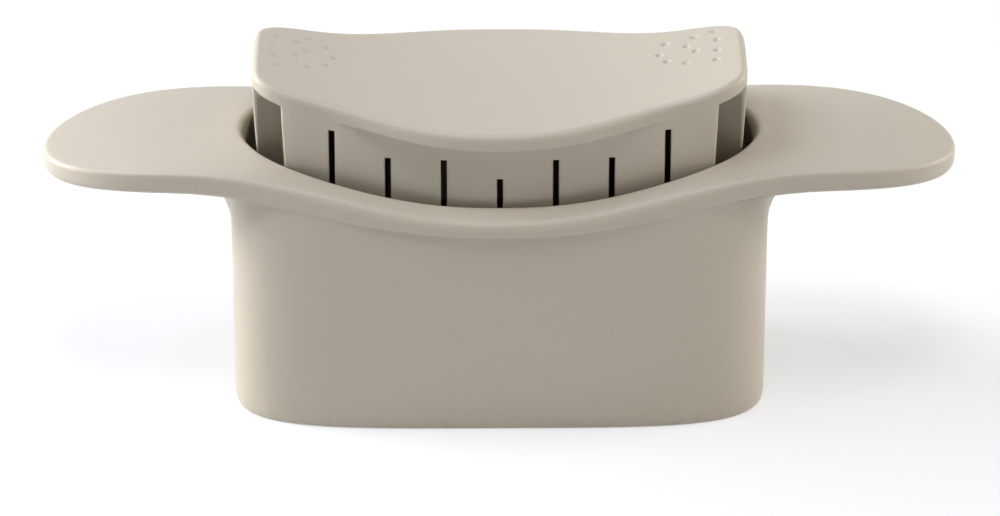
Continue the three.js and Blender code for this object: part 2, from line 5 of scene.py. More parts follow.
import bpy
import numpy as np
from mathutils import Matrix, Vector


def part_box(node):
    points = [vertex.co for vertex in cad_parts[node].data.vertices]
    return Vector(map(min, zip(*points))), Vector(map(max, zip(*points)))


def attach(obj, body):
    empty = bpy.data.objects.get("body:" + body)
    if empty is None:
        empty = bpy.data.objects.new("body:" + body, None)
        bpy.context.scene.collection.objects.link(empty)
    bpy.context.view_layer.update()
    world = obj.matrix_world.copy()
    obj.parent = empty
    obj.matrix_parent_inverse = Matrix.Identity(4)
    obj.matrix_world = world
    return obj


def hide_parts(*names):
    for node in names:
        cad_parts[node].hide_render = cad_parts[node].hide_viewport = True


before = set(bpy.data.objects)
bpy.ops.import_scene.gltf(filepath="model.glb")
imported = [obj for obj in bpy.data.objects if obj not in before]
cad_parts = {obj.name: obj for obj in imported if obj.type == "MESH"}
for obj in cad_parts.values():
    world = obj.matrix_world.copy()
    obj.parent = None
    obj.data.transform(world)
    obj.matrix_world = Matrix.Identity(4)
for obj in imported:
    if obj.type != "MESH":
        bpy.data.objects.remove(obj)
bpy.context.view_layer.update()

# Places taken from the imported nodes
frame_low, frame_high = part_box("cutter_frame")
cover_low, cover_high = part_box("pusher_cover")
clamp_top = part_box("blade_clamp")[1].z
frame_screws = [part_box(f"carrier_screw_{number}") for number in (1, 2, 3, 4)]
ram_screws = [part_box(f"ram_screw_{number}") for number in (1, 2, 3, 4)]

# Shaft of the frame
SHAFT_LENGTH = 0.1286
SHAFT_DEPTH = 0.059
SHAFT_WALL = 0.0026
SHAFT_SQUARENESS = 4.3
FOOT_RADIUS = 0.0008
FOOT_ROUND_SHARE = 0.35
FOOT_ROUND_HEIGHT = 0.00018
FOOT_INNER_INSET = 0.0005
FOOT_INNER_HEIGHT = 0.0002
INNER_WALL_HEIGHTS = (0.0012, 0.010, 0.022, 0.034)
OUTER_WALL_HEIGHTS = (0.026, 0.014, 0.004, FOOT_RADIUS)
SHAFT_STEPS = 160
CORNER_CROWDING = 0.85

# Mouth, where the pusher goes in
MOUTH_LENGTH = 0.121
MOUTH_DEPTH = 0.0506
MOUTH_SQUARENESS = 3.6
MOUTH_ROUNDNESS = 2.4
MOUTH_NECK_HEIGHT = 0.045
MOUTH_LOW_HEIGHT = 0.0582
MOUTH_HIGH_HEIGHT = 0.067
MOUTH_RISE_LENGTH = 0.064
MOUTH_RISE_POWER = 1.15
MOUTH_SIDE_FILLET = 0.0012
MOUTH_END_FILLET = 0.0028
MOUTH_END_FILLET_DROP = 0.0045
MOUTH_END_POWER = 60
MOUTH_FILLET_STEPS = 6

# Rim lip, wings and the flare under each wing
WING_SPAN = frame_high.x - frame_low.x
WING_DEPTH = 0.048
WING_ROOT_X = 0.0655
WING_ROUND_POWER = 2.5
RIM_DEPTH = frame_high.y - frame_low.y
RIM_BLEND_LENGTH = 0.078
RIM_BLEND_POWER = 1.5
LIP_LOW_HEIGHT = 0.05235
LIP_HIGH_HEIGHT = 0.0602
LIP_RISE_LENGTH = 0.073
LIP_RISE_POWER = 1.05
LIP_THICKNESS = 0.0056
LIP_MIDDLE_THICKNESS = 0.0032
LIP_TOP_RADIUS = 0.0015
LIP_UNDER_RADIUS = 0.0022
LIP_TOP_SHARE = 0.42
LIP_UNDER_SHARE = 0.56
LIP_OVERHANG_SHARE = 0.78
RIM_TOP_STEPS = (0.2, 0.4, 0.6, 0.8, 1)
LIP_TOP_STEPS = (0.25, 0.5, 0.75, 1)
LIP_UNDER_STEPS = (0, 0.25, 0.5, 0.75, 1)
WING_DROOP = 0.0036
WING_DROOP_LENGTH = 0.037
WING_SPREAD_POWER = 8
FLARE_REACH = 0.020
FLARE_DROP = 0.019
FLARE_HALF_DEPTH = 0.017
FLARE_NECK_REACH = 0.0010
FLARE_NECK_DROP = 0.0010
FLARE_SWELL_POWER = 1.5
FLARE_STEPS = 8

# Palm plate of the pusher
PLATE_LENGTH = cover_high.x - cover_low.x
PLATE_MIDDLE_DEPTH = cover_high.y - cover_low.y
PLATE_END_DEPTH = 0.0412
PLATE_BLEND_LENGTH = 0.0453
PLATE_BLEND_POWER = 1.2
PLATE_SQUARENESS = 5.2
PLATE_LOW_HEIGHT = 0.0787
PLATE_RISE = 0.0063
PLATE_RISE_LENGTH = 0.0516
PLATE_RISE_POWER = 2.2
PLATE_THICKNESS = 0.0040
PLATE_EDGE_RADIUS = 0.0017
PLATE_UNDER_RADIUS = 0.0005
PLATE_UNDER_ROOM = 0.6
PLATE_INNER_SHARES = (0.005, 0.02, 0.06, 0.13, 0.22, 0.32, 0.42, 0.51, 0.58)
PLATE_DIMPLE_SHARES = np.linspace(0.63, 0.975, 54)
PLATE_EDGE_STEPS = 11
PLATE_UNDER_STEPS = 5
PLATE_OVERHANG_SHARES = (0.33, 0.67)
PLATE_OUTLINE_SAMPLES = 4000
CEILING_SHARES = (0.85, 0.7, 0.5, 0.3, 0.1)

# Slotted skirt of the pusher
FRY_PITCH = 0.0132
SLOTS_EACH_SIDE = 3
PUSHER_FOOT = cover_low.z
SKIRT_WALL = 0.002
SKIRT_MIDDLE_DEPTH = 0.0486
SKIRT_BULGE = 0.0033
SKIRT_BULGE_LENGTH = 0.038
SKIRT_BULGE_POWER = 1.5
SKIRT_FRONT_LENGTH = 0.103
SKIRT_LENGTH = 0.117
SKIRT_TAPER = 0.003
SKIRT_CORNER_RADIUS = 0.0005
END_CORNER_RADIUS = 0.0009
SKIRT_MERGE_SOFTNESS = 0.0002
RECESS_HALF_DEPTH = 0.0098
SLOT_WIDTH = 0.0014
SLOT_EDGE_RADIUS = 0.00035
SLOT_LOWEST_TOP = 0.0647
SLOT_STEP = 0.0047
SLOT_STEP_POWER = 1.23
LONG_SLOT_TOP = 0.060
SLOT_BORDER_SHARES = (0, 0.3, 0.65, 1)
PLAIN_ROW_HEIGHTS = [0.045, 0.030]
END_STATIONS = 24
RECESS_STATIONS = 9
SIDE_STATIONS = 6
FRONT_STATIONS = 34
CORNER_STEPS = 6

# Screw posts in the frame and bosses under the plate
POST_RADIUS = 0.0033
POST_TOP = 0.044
WEB_END = 0.0606
WEB_THICKNESS = 0.0024
WEB_START_SHARE = 0.8
BOSS_RADIUS = 0.0028
BOSS_FOOT = 0.019
SCREW_BORE = 0.0018
BORE_REST = 0.002
POST_STEPS = 32

# Least difference between two places, and least gap between two rows of the skirt
TINY = 1e-7
ROW_GAP = 0.00004

# Roundings of sharp edges, and the angles from which an edge counts as sharp
POST_EDGE = 0.0003
RING_EDGE = 0.00015
SCREW_EDGE = 0.00012
BLADE_EDGE = 0.00002
EDGE_SEGMENTS = 2
ROUNDED_ANGLE = 35
CRISP_ANGLE = 50

# Finger dimples in the two ends of the palm plate
DIMPLE_RADIUS = 0.00095
DIMPLE_DEPTH = 0.0005
LEFT_DIMPLES = [
    (-0.0535, 0.0106), (-0.0539, 0.0061), (-0.0534, 0.0004), (-0.0526, -0.0046),
    (-0.0483, 0.0101), (-0.0482, 0.0029), (-0.0457, 0.0132), (-0.0459, 0.0066),
    (-0.0455, -0.0020), (-0.0412, 0.0102), (-0.0394, 0.0055), (-0.0412, 0.0011),
]
RIGHT_DIMPLES = [
    (0.0518, 0.0137), (0.0522, 0.0091), (0.0520, 0.0038), (0.0516, -0.0015),
    (0.0469, 0.0132), (0.0449, 0.0091), (0.0469, 0.0057), (0.0399, 0.0123),
    (0.0383, 0.0071), (0.0400, 0.0029), (0.0444, 0.0003),
]


# Meshes from rings of points
class Skin:
    """Points and faces of one closed piece. Rings run anticlockwise seen from above."""

    def __init__(self):
        self.points = []
        self.faces = []

    def ring(self, xy, z):
        start = len(self.points)
        heights = np.broadcast_to(z, len(xy))
        self.points.extend(zip(xy[:, 0], xy[:, 1], heights))
        return np.arange(start, start + len(xy))

    def quads(self, a, b, c, d):
        self.faces.extend(np.stack([a, b, c, d], axis=1).tolist())

    def band(self, upper, lower, shut=None):
        """Faces between two rings, seen from outside when the first one is above."""
        here = np.arange(len(upper)) if shut is None else np.flatnonzero(shut)
        after = (here + 1) % len(upper)
        self.quads(upper[here], lower[here], lower[after], upper[after])

    def bands(self, rings):
        for upper, lower in zip(rings[:-1], rings[1:]):
            self.band(upper, lower)

    def cap(self, ring, facing_up):
        centre = np.mean([self.points[i] for i in ring], axis=0)
        self.points.append(tuple(centre))
        last = len(self.points) - 1
        for here, after in zip(ring, np.roll(ring, -1)):
            pair = (here, after) if facing_up else (after, here)
            self.faces.append([int(pair[0]), int(pair[1]), last])

    def tube(self, centre, outer, inner, bottom, floor, top):
        """An upright post with a blind bore in its lower end."""
        turn = 2 * np.pi * np.arange(POST_STEPS) / POST_STEPS
        centre = np.array(centre)
        circle = np.stack([np.cos(turn), np.sin(turn)], axis=1)
        rings = [
            self.ring(centre + circle * outer, top),
            self.ring(centre + circle * outer, bottom),
            self.ring(centre + circle * inner, bottom),
            self.ring(centre + circle * inner, floor),
        ]
        self.bands(rings)
        self.cap(rings[0], True)
        self.cap(rings[-1], False)

    def block(self, low, high):
        xs, ys = (low[0], high[0]), (low[1], high[1])
        corners = np.array([(xs[1], ys[0]), (xs[1], ys[1]), (xs[0], ys[1]), (xs[0], ys[0])])
        upper = self.ring(corners, high[2])
        lower = self.ring(corners, low[2])
        self.band(upper, lower)
        self.faces.append(upper.tolist())
        self.faces.append(lower[::-1].tolist())

    def piece(self, name):
        mesh = bpy.data.meshes.new(name)
        mesh.from_pydata([tuple(map(float, p)) for p in self.points], [], self.faces)
        mesh.polygons.foreach_set("use_smooth", [True] * len(mesh.polygons))
        mesh.update()
        piece = bpy.data.objects.new(name, mesh)
        bpy.context.scene.collection.objects.link(piece)
        return piece


def soften(piece, levels):
    """Rounds a cage of rings into a smooth skin."""
    smoothing = piece.modifiers.new("smooth skin", "SUBSURF")
    smoothing.levels = levels
    smoothing.render_levels = levels
    return piece


def soft_edges(piece, width):
    """Joins a piece's faces where they meet and rounds its sharp edges."""
    piece.modifiers.new("joined faces", "WELD").merge_threshold = TINY
    edges = piece.modifiers.new("soft edges", "BEVEL")
    edges.width = width
    edges.segments = EDGE_SEGMENTS
    edges.limit_method = "ANGLE"
    edges.angle_limit = math.radians(ROUNDED_ANGLE)
    return piece


def sharpen(piece):
    """Keeps edges that turn sharply crisp in the shading."""
    piece.data.set_sharp_from_angle(angle=math.radians(CRISP_ANGLE))
    return piece


# Curves shared by the frame and the pusher
def fade(distance, length, power):
    """One at the start, nought at the length, with a level start and end."""
    run = np.minimum(1, np.abs(distance) / length) ** power
    return (1 + np.cos(np.pi * run)) / 2


def squircle(share, squareness, roundness=None):
    return np.maximum(0, 1 - share ** squareness) ** (1 / (roundness or squareness))


def bend(points, share):
    """A place on the round from the first point to the last, drawn towards the middle one."""
    start, corner, end = points
    return (1 - share) ** 2 * start + 2 * share * (1 - share) * corner + share ** 2 * end


def outward(outline):
    along = np.roll(outline, -1, axis=0) - np.roll(outline, 1, axis=0)
    normal = np.stack([along[:, 1], -along[:, 0]], axis=1)
    return normal / np.linalg.norm(normal, axis=1, keepdims=True)


class Round:
    """Places round an oval, closer together at its corners."""

    def __init__(self, steps):
        even = 2 * np.pi * np.arange(steps) / steps
        turn = even - CORNER_CROWDING * np.sin(4 * even) / 4
        self.along = np.abs(np.cos(turn)) ** (2 / SHAFT_SQUARENESS)
        self.side_x = np.sign(np.cos(turn))
        self.side_y = np.sign(np.sin(turn))

    def outline(self, x, y):
        return np.stack([x * self.side_x, y * self.side_y], axis=1)

    def oval(self, length, depth, squareness, roundness=None):
        half_depth = depth / 2 * squircle(self.along, squareness, roundness)
        return self.outline(length / 2 * self.along, half_depth)


# Frame
def wing_half_depth(x):
    out = np.maximum(0, np.abs(x) - WING_ROOT_X) / (WING_SPAN / 2 - WING_ROOT_X)
    wing = WING_DEPTH / 2 * np.sqrt(np.maximum(0, 1 - out ** WING_ROUND_POWER))
    return wing + (RIM_DEPTH - WING_DEPTH) / 2 * fade(x, RIM_BLEND_LENGTH, RIM_BLEND_POWER)


def shaft_half_depth(x):
    share = np.minimum(1, np.abs(x) / (SHAFT_LENGTH / 2))
    return SHAFT_DEPTH / 2 * squircle(share, SHAFT_SQUARENESS)


def lip_overhang(x):
    return wing_half_depth(x) - shaft_half_depth(x)


def crest_height(x):
    rise = MOUTH_HIGH_HEIGHT - MOUTH_LOW_HEIGHT
    return MOUTH_HIGH_HEIGHT - rise * fade(x, MOUTH_RISE_LENGTH, MOUTH_RISE_POWER)


def lip_bottom(x):
    rise = LIP_HIGH_HEIGHT - LIP_LOW_HEIGHT
    beyond = np.maximum(0, np.abs(x) - LIP_RISE_LENGTH) / WING_DROOP_LENGTH
    saddle = LIP_HIGH_HEIGHT - rise * fade(x, LIP_RISE_LENGTH, LIP_RISE_POWER)
    return saddle - WING_DROOP * beyond ** 2


def lip_depth(x):
    loss = LIP_THICKNESS - LIP_MIDDLE_THICKNESS
    return LIP_THICKNESS - loss * fade(x, LIP_RISE_LENGTH, LIP_RISE_POWER)


# Levels of the frame: each is an outline and its height
def mouth_round(mouth, along):
    """Up and over the rounded edge of the mouth, to its crest."""
    end_share = along ** MOUTH_END_POWER
    reach = MOUTH_SIDE_FILLET + (MOUTH_END_FILLET - MOUTH_SIDE_FILLET) * end_share
    drop = MOUTH_SIDE_FILLET + (MOUTH_END_FILLET_DROP - MOUTH_SIDE_FILLET) * end_share
    crest = crest_height(mouth[:, 0])
    for turn in np.linspace(0, np.pi / 2, MOUTH_FILLET_STEPS):
        edge = mouth + outward(mouth) * (reach * (1 - np.cos(turn)))[:, None]
        yield edge, crest - drop * (1 - np.sin(turn))


def rim_top(crest_edge, crest, lip, lip_x):
    """From the crest out over the rim and the wings."""
    top_height = lip_bottom(lip_x) + lip_depth(lip_x)
    flat_share = 1 - LIP_TOP_RADIUS / np.linalg.norm(lip - crest_edge, axis=1)
    ridge = fade(lip_x, LIP_RISE_LENGTH, LIP_RISE_POWER)
    for share in RIM_TOP_STEPS:
        part = flat_share * share
        place = crest_edge + (lip - crest_edge) * part[:, None]
        yield place, crest - (crest - top_height) * (ridge * part + (1 - ridge) * part ** 2)


def lip_round(place, height, lip, lip_x):
    """From a place on the rim round the outer edge of the lip to its underside."""
    depth = lip_depth(lip_x)
    bottom = lip_bottom(lip_x)
    top_height = bottom + depth
    top_drop = np.minimum(LIP_TOP_RADIUS, LIP_TOP_SHARE * depth)
    top_round = [(place, height), (lip, top_height), (lip, top_height - top_drop)]
    on_wing = np.abs(lip[:, 0]) > SHAFT_LENGTH / 2
    narrow = np.minimum(LIP_UNDER_RADIUS, lip_overhang(lip_x) * LIP_OVERHANG_SHARE)
    under_edge = lip - outward(lip) * np.where(on_wing, LIP_UNDER_RADIUS, narrow)[:, None]
    under_rise = np.minimum(LIP_UNDER_RADIUS, LIP_UNDER_SHARE * depth)
    under_round = [(lip, bottom + under_rise), (lip, bottom), (under_edge, bottom)]
    for levels, steps in ((top_round, LIP_TOP_STEPS), (under_round, LIP_UNDER_STEPS)):
        points = [np.column_stack(level) for level in levels]
        for share in steps:
            nose = bend(points, share)
            yield nose[:, :2], nose[:, 2]


def flare(shaft):
    """From the underside of the lip in and down to the shaft."""
    shaft_out = outward(shaft)
    swell = np.maximum(0, 1 - (shaft[:, 1] / FLARE_HALF_DEPTH) ** 2) ** FLARE_SWELL_POWER
    full = FLARE_NECK_REACH + (FLARE_REACH - FLARE_NECK_REACH) * swell
    across = np.maximum(np.abs(shaft_out[:, 1]), TINY)
    room = lip_overhang(shaft[:, 0]) * (1 - LIP_OVERHANG_SHARE) / across
    reach = np.minimum(room, full)
    drop = FLARE_NECK_DROP + (FLARE_DROP - FLARE_NECK_DROP) * swell
    for turn in np.linspace(0, np.pi / 2, FLARE_STEPS):
        edge = shaft + shaft_out * (reach * (1 - np.sin(turn)))[:, None]
        yield edge, lip_bottom(edge[:, 0]) - drop * (1 - np.cos(turn))


def foot_round(shaft, inner):
    """Under the foot, from the outer wall to the inner one."""
    shaft_out = outward(shaft)
    yield shaft - shaft_out * FOOT_RADIUS * FOOT_ROUND_SHARE, FOOT_ROUND_HEIGHT
    yield shaft - shaft_out * FOOT_RADIUS, 0
    yield inner + shaft_out * FOOT_INNER_INSET, 0
    yield inner, FOOT_INNER_HEIGHT


def frame_shell():
    """One skin from the inner foot up, over the mouth and the lip, and down the outside."""
    places = Round(SHAFT_STEPS)
    inner = places.oval(SHAFT_LENGTH - 2 * SHAFT_WALL, SHAFT_DEPTH - 2 * SHAFT_WALL, SHAFT_SQUARENESS)
    mouth = places.oval(MOUTH_LENGTH, MOUTH_DEPTH, MOUTH_SQUARENESS, MOUTH_ROUNDNESS)
    shaft = places.oval(SHAFT_LENGTH, SHAFT_DEPTH, SHAFT_SQUARENESS)
    spread = places.along ** WING_SPREAD_POWER
    lip_x = SHAFT_LENGTH / 2 * places.along + (WING_SPAN - SHAFT_LENGTH) / 2 * spread
    lip = places.outline(lip_x, wing_half_depth(lip_x))

    levels = [(inner, height) for height in (*INNER_WALL_HEIGHTS, MOUTH_NECK_HEIGHT)]
    levels += mouth_round(mouth, places.along)
    levels += rim_top(*levels[-1], lip, lip_x)
    levels += lip_round(*levels[-1], lip, lip_x)
    levels += flare(shaft)
    levels += [(shaft, height) for height in OUTER_WALL_HEIGHTS]
    levels += foot_round(shaft, inner)
    skin = Skin()
    rings = [skin.ring(outline, height) for outline, height in levels]
    skin.bands(rings + rings[:1])
    return skin


def frame_posts():
    """Four posts for the carrier's screws, each with a web out to the end wall."""
    skin = Skin()
    for low, high in frame_screws:
        x, y = (low.x + high.x) / 2, (low.y + high.y) / 2
        skin.tube((x, y), POST_RADIUS, SCREW_BORE, clamp_top, high.z + BORE_REST, POST_TOP)
        start = x + math.copysign(POST_RADIUS * WEB_START_SHARE, x)
        near, far = sorted((start, math.copysign(WEB_END, x)))
        half = WEB_THICKNESS / 2
        skin.block((near, y - half, clamp_top), (far, y + half, POST_TOP))
    return skin


# Pusher
def plate_half_depth(x):
    share = np.minimum(1, np.abs(x) / (PLATE_LENGTH / 2))
    spread = fade(x, PLATE_BLEND_LENGTH, PLATE_BLEND_POWER)
    middle = (PLATE_MIDDLE_DEPTH - PLATE_END_DEPTH) / 2 * spread
    return (PLATE_END_DEPTH / 2 + middle) * squircle(share, PLATE_SQUARENESS)


def plate_top(x):
    rise = PLATE_RISE * (np.abs(x) / PLATE_RISE_LENGTH) ** PLATE_RISE_POWER
    return np.minimum(PLATE_LOW_HEIGHT + rise, cover_high.z)


def skirt_half_depth(x):
    """The skirt bulges in the middle and merges softly with the plate's edge near its ends."""
    bulge = SKIRT_BULGE * (np.abs(x) / SKIRT_BULGE_LENGTH) ** SKIRT_BULGE_POWER
    wall = SKIRT_MIDDLE_DEPTH / 2 - bulge
    edge = plate_half_depth(x)
    return (wall + edge - np.sqrt((wall - edge) ** 2 + SKIRT_MERGE_SOFTNESS ** 2)) / 2


def taper(height):
    depth = (PLATE_LOW_HEIGHT - height) / (PLATE_LOW_HEIGHT - PUSHER_FOOT)
    return 1 - SKIRT_TAPER / (SKIRT_FRONT_LENGTH / 2) * np.maximum(0, depth)


def slot_top(level):
    return SLOT_LOWEST_TOP + SLOT_STEP * level ** SLOT_STEP_POWER


class SkirtPath:
    """Stations round the pusher, from its +X end anticlockwise.

    Each station has its place on the skirt, on the skirt's inner wall and on the plate's edge.
    At each corner the skirt steps in, and the plate stands over an open recess.
    """

    def __init__(self):
        end_x = SKIRT_LENGTH / 2
        front_x = SKIRT_FRONT_LENGTH / 2
        inner_end = end_x - SKIRT_WALL
        inner_front = front_x - SKIRT_WALL
        radius = SKIRT_CORNER_RADIUS
        recess = RECESS_HALF_DEPTH
        inner_recess = recess - SKIRT_WALL
        front_y = float(skirt_half_depth(front_x))
        inner_y = float(skirt_half_depth(inner_front)) - SKIRT_WALL
        self.low_x = front_x - radius
        low_y = float(skirt_half_depth(self.low_x))
        self.stations = []

        end_radius = END_CORNER_RADIUS
        for y in columns([0], 0, recess - end_radius, END_STATIONS):
            self.add((end_x, y), (inner_end, min(y, inner_recess)), "end")
        point = (inner_end, inner_recess)
        self.corner([(end_x, recess - end_radius), (end_x, recess), (end_x - end_radius, recess)],
                    [point] * 3)
        for x in np.linspace(end_x - end_radius, front_x + radius, RECESS_STATIONS)[1:-1]:
            self.add((x, recess), (min(x, inner_end), inner_recess), "corner")
        self.corner([(front_x + radius, recess), (front_x, recess), (front_x, recess + radius)],
                    [(front_x + radius, inner_recess), (inner_front, inner_recess),
                     (inner_front, recess + radius)])
        for y in columns([FRY_PITCH], recess + radius, front_y - radius, SIDE_STATIONS)[1:-1]:
            self.add((front_x, y), (inner_front, min(y, inner_y)), "side")
        point = (inner_front, inner_y)
        self.corner([(front_x, front_y - radius), (front_x, front_y), (self.low_x, low_y)],
                    [point] * 3)
        slots = [FRY_PITCH * index for index in range(SLOTS_EACH_SIDE + 1)]
        for x in columns(slots, 0, self.low_x, FRONT_STATIONS)[::-1][1:]:
            self.add((x, float(skirt_half_depth(x))), (min(x, inner_front), 0), "front")

        quarter = [np.array([station[part] for station in self.stations]) for part in range(3)]
        plate = self.plate_places(quarter[0], quarter[2])
        parts = (quarter[0], quarter[1], plate)
        self.skirt, self.inner, self.plate = (all_round(part) for part in parts)
        half = np.concatenate([quarter[2], quarter[2][-2::-1]])
        self.leg = np.concatenate([half, half[-2:0:-1]])

    def add(self, place, inner, leg):
        self.stations.append((place, inner, leg))

    def corner(self, outer, inner):
        """A corner rounded by a parabola, outside and inside."""
        for share in np.linspace(0, 1, CORNER_STEPS + 1):
            place, inside = (tuple(bend(np.array(points), share)) for points in (outer, inner))
            self.add(place, inside, "corner")

    def plate_places(self, skirt, leg):
        """The stations on the plate's edge: straight out from the skirt where it is close."""
        fine = np.cos(np.linspace(0, np.pi / 2, PLATE_OUTLINE_SAMPLES)) ** (2 / PLATE_SQUARENESS)
        xs = PLATE_LENGTH / 2 * fine
        ys = plate_half_depth(xs)
        run = np.concatenate([[0], np.cumsum(np.hypot(np.diff(xs), np.diff(ys)))])
        places = np.zeros_like(skirt)
        at_end = leg == "end"
        places[at_end, 1] = skirt[at_end, 1]
        places[at_end, 0] = np.interp(skirt[at_end, 1], ys, xs)
        in_front = skirt[:, 0] < self.low_x + TINY
        places[in_front, 0] = skirt[in_front, 0]
        places[in_front, 1] = plate_half_depth(skirt[in_front, 0])
        between = ~(at_end | in_front)
        first = np.interp(skirt[at_end, 1].max(), ys, run)
        last = np.interp(-skirt[in_front, 0].max(), -xs, run)
        walk = np.concatenate([[0], np.cumsum(np.hypot(*np.diff(skirt[between], axis=0).T))])
        share = (walk / walk[-1] * len(walk) + 0.5) / (len(walk) + 1)
        places[between, 0] = np.interp(first + (last - first) * share, run, xs)
        places[between, 1] = np.interp(first + (last - first) * share, run, ys)
        return places

    def at_height(self, height, inside=False):
        """The outline at a height: it tapers along X, and the slots stay upright."""
        places = self.inner if inside else self.skirt
        side = np.sign(places)
        x, y = np.abs(places).T
        share = taper(height)
        front = self.leg == "front"
        last_slot = FRY_PITCH * SLOTS_EACH_SIDE + SLOT_WIDTH / 2 + SLOT_EDGE_RADIUS
        beyond = np.maximum(0, x - last_slot) / (self.low_x - last_slot)
        upright = np.minimum(x, last_slot) + beyond * (self.low_x * share - last_slot)
        x = np.where(front, upright, x * share)
        wall = SKIRT_WALL if inside else 0
        y = np.where(front, skirt_half_depth(x / share) - wall, y)
        side_y = np.where(front, np.sign(self.skirt[:, 1]), side[:, 1])
        return np.stack([x * side[:, 0], y * side_y], axis=1)

    def slots(self):
        """Each slot: its leg, the axis it is measured along, its centre and its top."""
        for index in range(-SLOTS_EACH_SIDE, SLOTS_EACH_SIDE + 1):
            yield "front", 0, index * FRY_PITCH, slot_top(math.ceil(abs(index) / 2))
        for index in (-1, 0, 1):
            yield ("side" if index else "end"), 1, index * FRY_PITCH, LONG_SLOT_TOP

    def rounded(self, outline, height):
        """The outline with the slots' borders rounded over."""
        outline = outline.copy()
        for leg, axis, centre, top in self.slots():
            aside = np.maximum(0, np.abs(outline[:, axis] - centre) - SLOT_WIDTH / 2)
            above = np.maximum(0, height - top)
            depth = np.maximum(0, SLOT_EDGE_RADIUS - np.hypot(aside, above))
            inset = SLOT_EDGE_RADIUS - np.sqrt(SLOT_EDGE_RADIUS ** 2 - depth ** 2)
            inset = np.where(self.leg == leg, inset, 0)
            outline[:, 1 - axis] -= inset * np.sign(outline[:, 1 - axis])
        return outline

    def open_cells(self, row_height):
        """Which stations start a cell that a slot leaves open below the given height."""
        after = np.roll(self.skirt, -1, axis=0)
        is_open = np.zeros(len(self.skirt), bool)
        for leg, axis, centre, top in self.slots():
            half = SLOT_WIDTH / 2 + TINY
            within = np.abs(self.skirt[:, axis] - centre) < half
            within &= np.abs(after[:, axis] - centre) < half
            is_open |= within & (self.leg == leg) & (row_height < top + TINY)
        return is_open


def columns(slots, near, far, fill):
    """Even places from near to far, with the ones beside the slots set exactly."""
    steps = SLOT_WIDTH / 2 + SLOT_EDGE_RADIUS * np.array(SLOT_BORDER_SHARES)
    exact = np.concatenate([np.concatenate([centre - steps, centre + steps]) for centre in slots])
    exact = exact[(exact > near + TINY) & (exact < far - TINY)]
    even = np.linspace(near, far, fill)[1:-1]
    clear = [place for place in even if np.min(np.abs(exact - place)) > SLOT_EDGE_RADIUS]
    in_slot = [c for c in slots if near < c < far]
    clear = [place for place in clear if all(abs(place - c) > SLOT_WIDTH / 2 for c in in_slot)]
    return np.array(sorted([near, far, *exact, *clear]))


def all_round(quarter):
    """Mirrors one quarter of a list of places, from the +X end anticlockwise, all the way round."""
    half = np.concatenate([quarter, (quarter * (-1, 1))[-2::-1]])
    return np.concatenate([half, (half * (1, -1))[-2:0:-1]])


def dimples(xy):
    """How deep the finger dimples are at each place of the plate."""
    depth = np.zeros(len(xy))
    for centre in LEFT_DIMPLES + RIGHT_DIMPLES:
        share = np.linalg.norm(xy - centre, axis=1) / DIMPLE_RADIUS
        depth = np.maximum(depth, DIMPLE_DEPTH * np.maximum(0, 1 - share ** 2))
    return depth


# Levels of the palm plate: each is an outline and its height
def plate_surface(path):
    """From the middle of the plate out to its rounded edge."""
    flat = path.plate - outward(path.plate) * PLATE_EDGE_RADIUS
    for share in (*PLATE_INNER_SHARES, *PLATE_DIMPLE_SHARES):
        place = flat * share
        yield place, plate_top(place[:, 0]) - dimples(place)


def plate_edge(path, wall_top):
    """Round the edge of the plate, and in under it to the skirt."""
    plate_out = outward(path.plate)
    for turn in np.linspace(0, np.pi / 2, PLATE_EDGE_STEPS):
        edge = path.plate - plate_out * PLATE_EDGE_RADIUS * (1 - math.sin(turn))
        yield edge, plate_top(edge[:, 0]) - PLATE_EDGE_RADIUS * (1 - math.cos(turn))
    overhang = np.linalg.norm(path.plate - wall_top, axis=1)
    radius = np.minimum(PLATE_UNDER_RADIUS, PLATE_UNDER_ROOM * overhang)
    for turn in np.linspace(0, np.pi / 2, PLATE_UNDER_STEPS):
        edge = path.plate - plate_out * radius[:, None] * (1 - math.cos(turn))
        yield edge, plate_top(edge[:, 0]) - PLATE_THICKNESS + radius * (1 - math.sin(turn))
    for share in PLATE_OVERHANG_SHARES:
        place = edge * (1 - share) + wall_top * share
        yield place, plate_top(place[:, 0]) - PLATE_THICKNESS


# Skirt of the pusher
def skirt_rows(path, skin, under, heights):
    """The rings of the skirt's outer and inner walls, from under the plate down."""
    outer = [skin.ring(path.at_height(under), under)]
    inner = [skin.ring(path.at_height(under, inside=True), under)]
    for row, height in enumerate(heights):
        level = np.minimum(height, under - ROW_GAP * (row + 1))
        outline = path.rounded(path.at_height(level), level)
        if row == len(heights) - 1:
            outline = outline - outward(outline) * SLOT_EDGE_RADIUS
        outer.append(skin.ring(outline, level))
        inner.append(skin.ring(path.at_height(level, inside=True), level))
    return outer, inner


def skirt_faces(path, skin, heights, outer, inner):
    """Faces between the rows, with the slots left open and their sides closed."""
    above = np.zeros(len(outer[0]), bool)
    for row in range(len(heights)):
        upper_height = heights[row - 1] if row else math.inf
        is_open = path.open_cells(upper_height)
        skin.band(outer[row], outer[row + 1], ~is_open)
        skin.band(inner[row + 1], inner[row], ~is_open)
        here = np.flatnonzero(is_open & ~above)
        after = (here + 1) % len(is_open)
        skin.quads(outer[row][here], outer[row][after], inner[row][after], inner[row][here])
        first = np.flatnonzero(is_open & ~np.roll(is_open, 1))
        last = (np.flatnonzero(is_open & ~np.roll(is_open, -1)) + 1) % len(is_open)
        skin.quads(outer[row][first], inner[row][first], inner[row + 1][first], outer[row + 1][first])
        skin.quads(inner[row][last], outer[row][last], outer[row + 1][last], inner[row + 1][last])
        above = is_open
    skin.band(outer[-1], inner[-1], ~above)


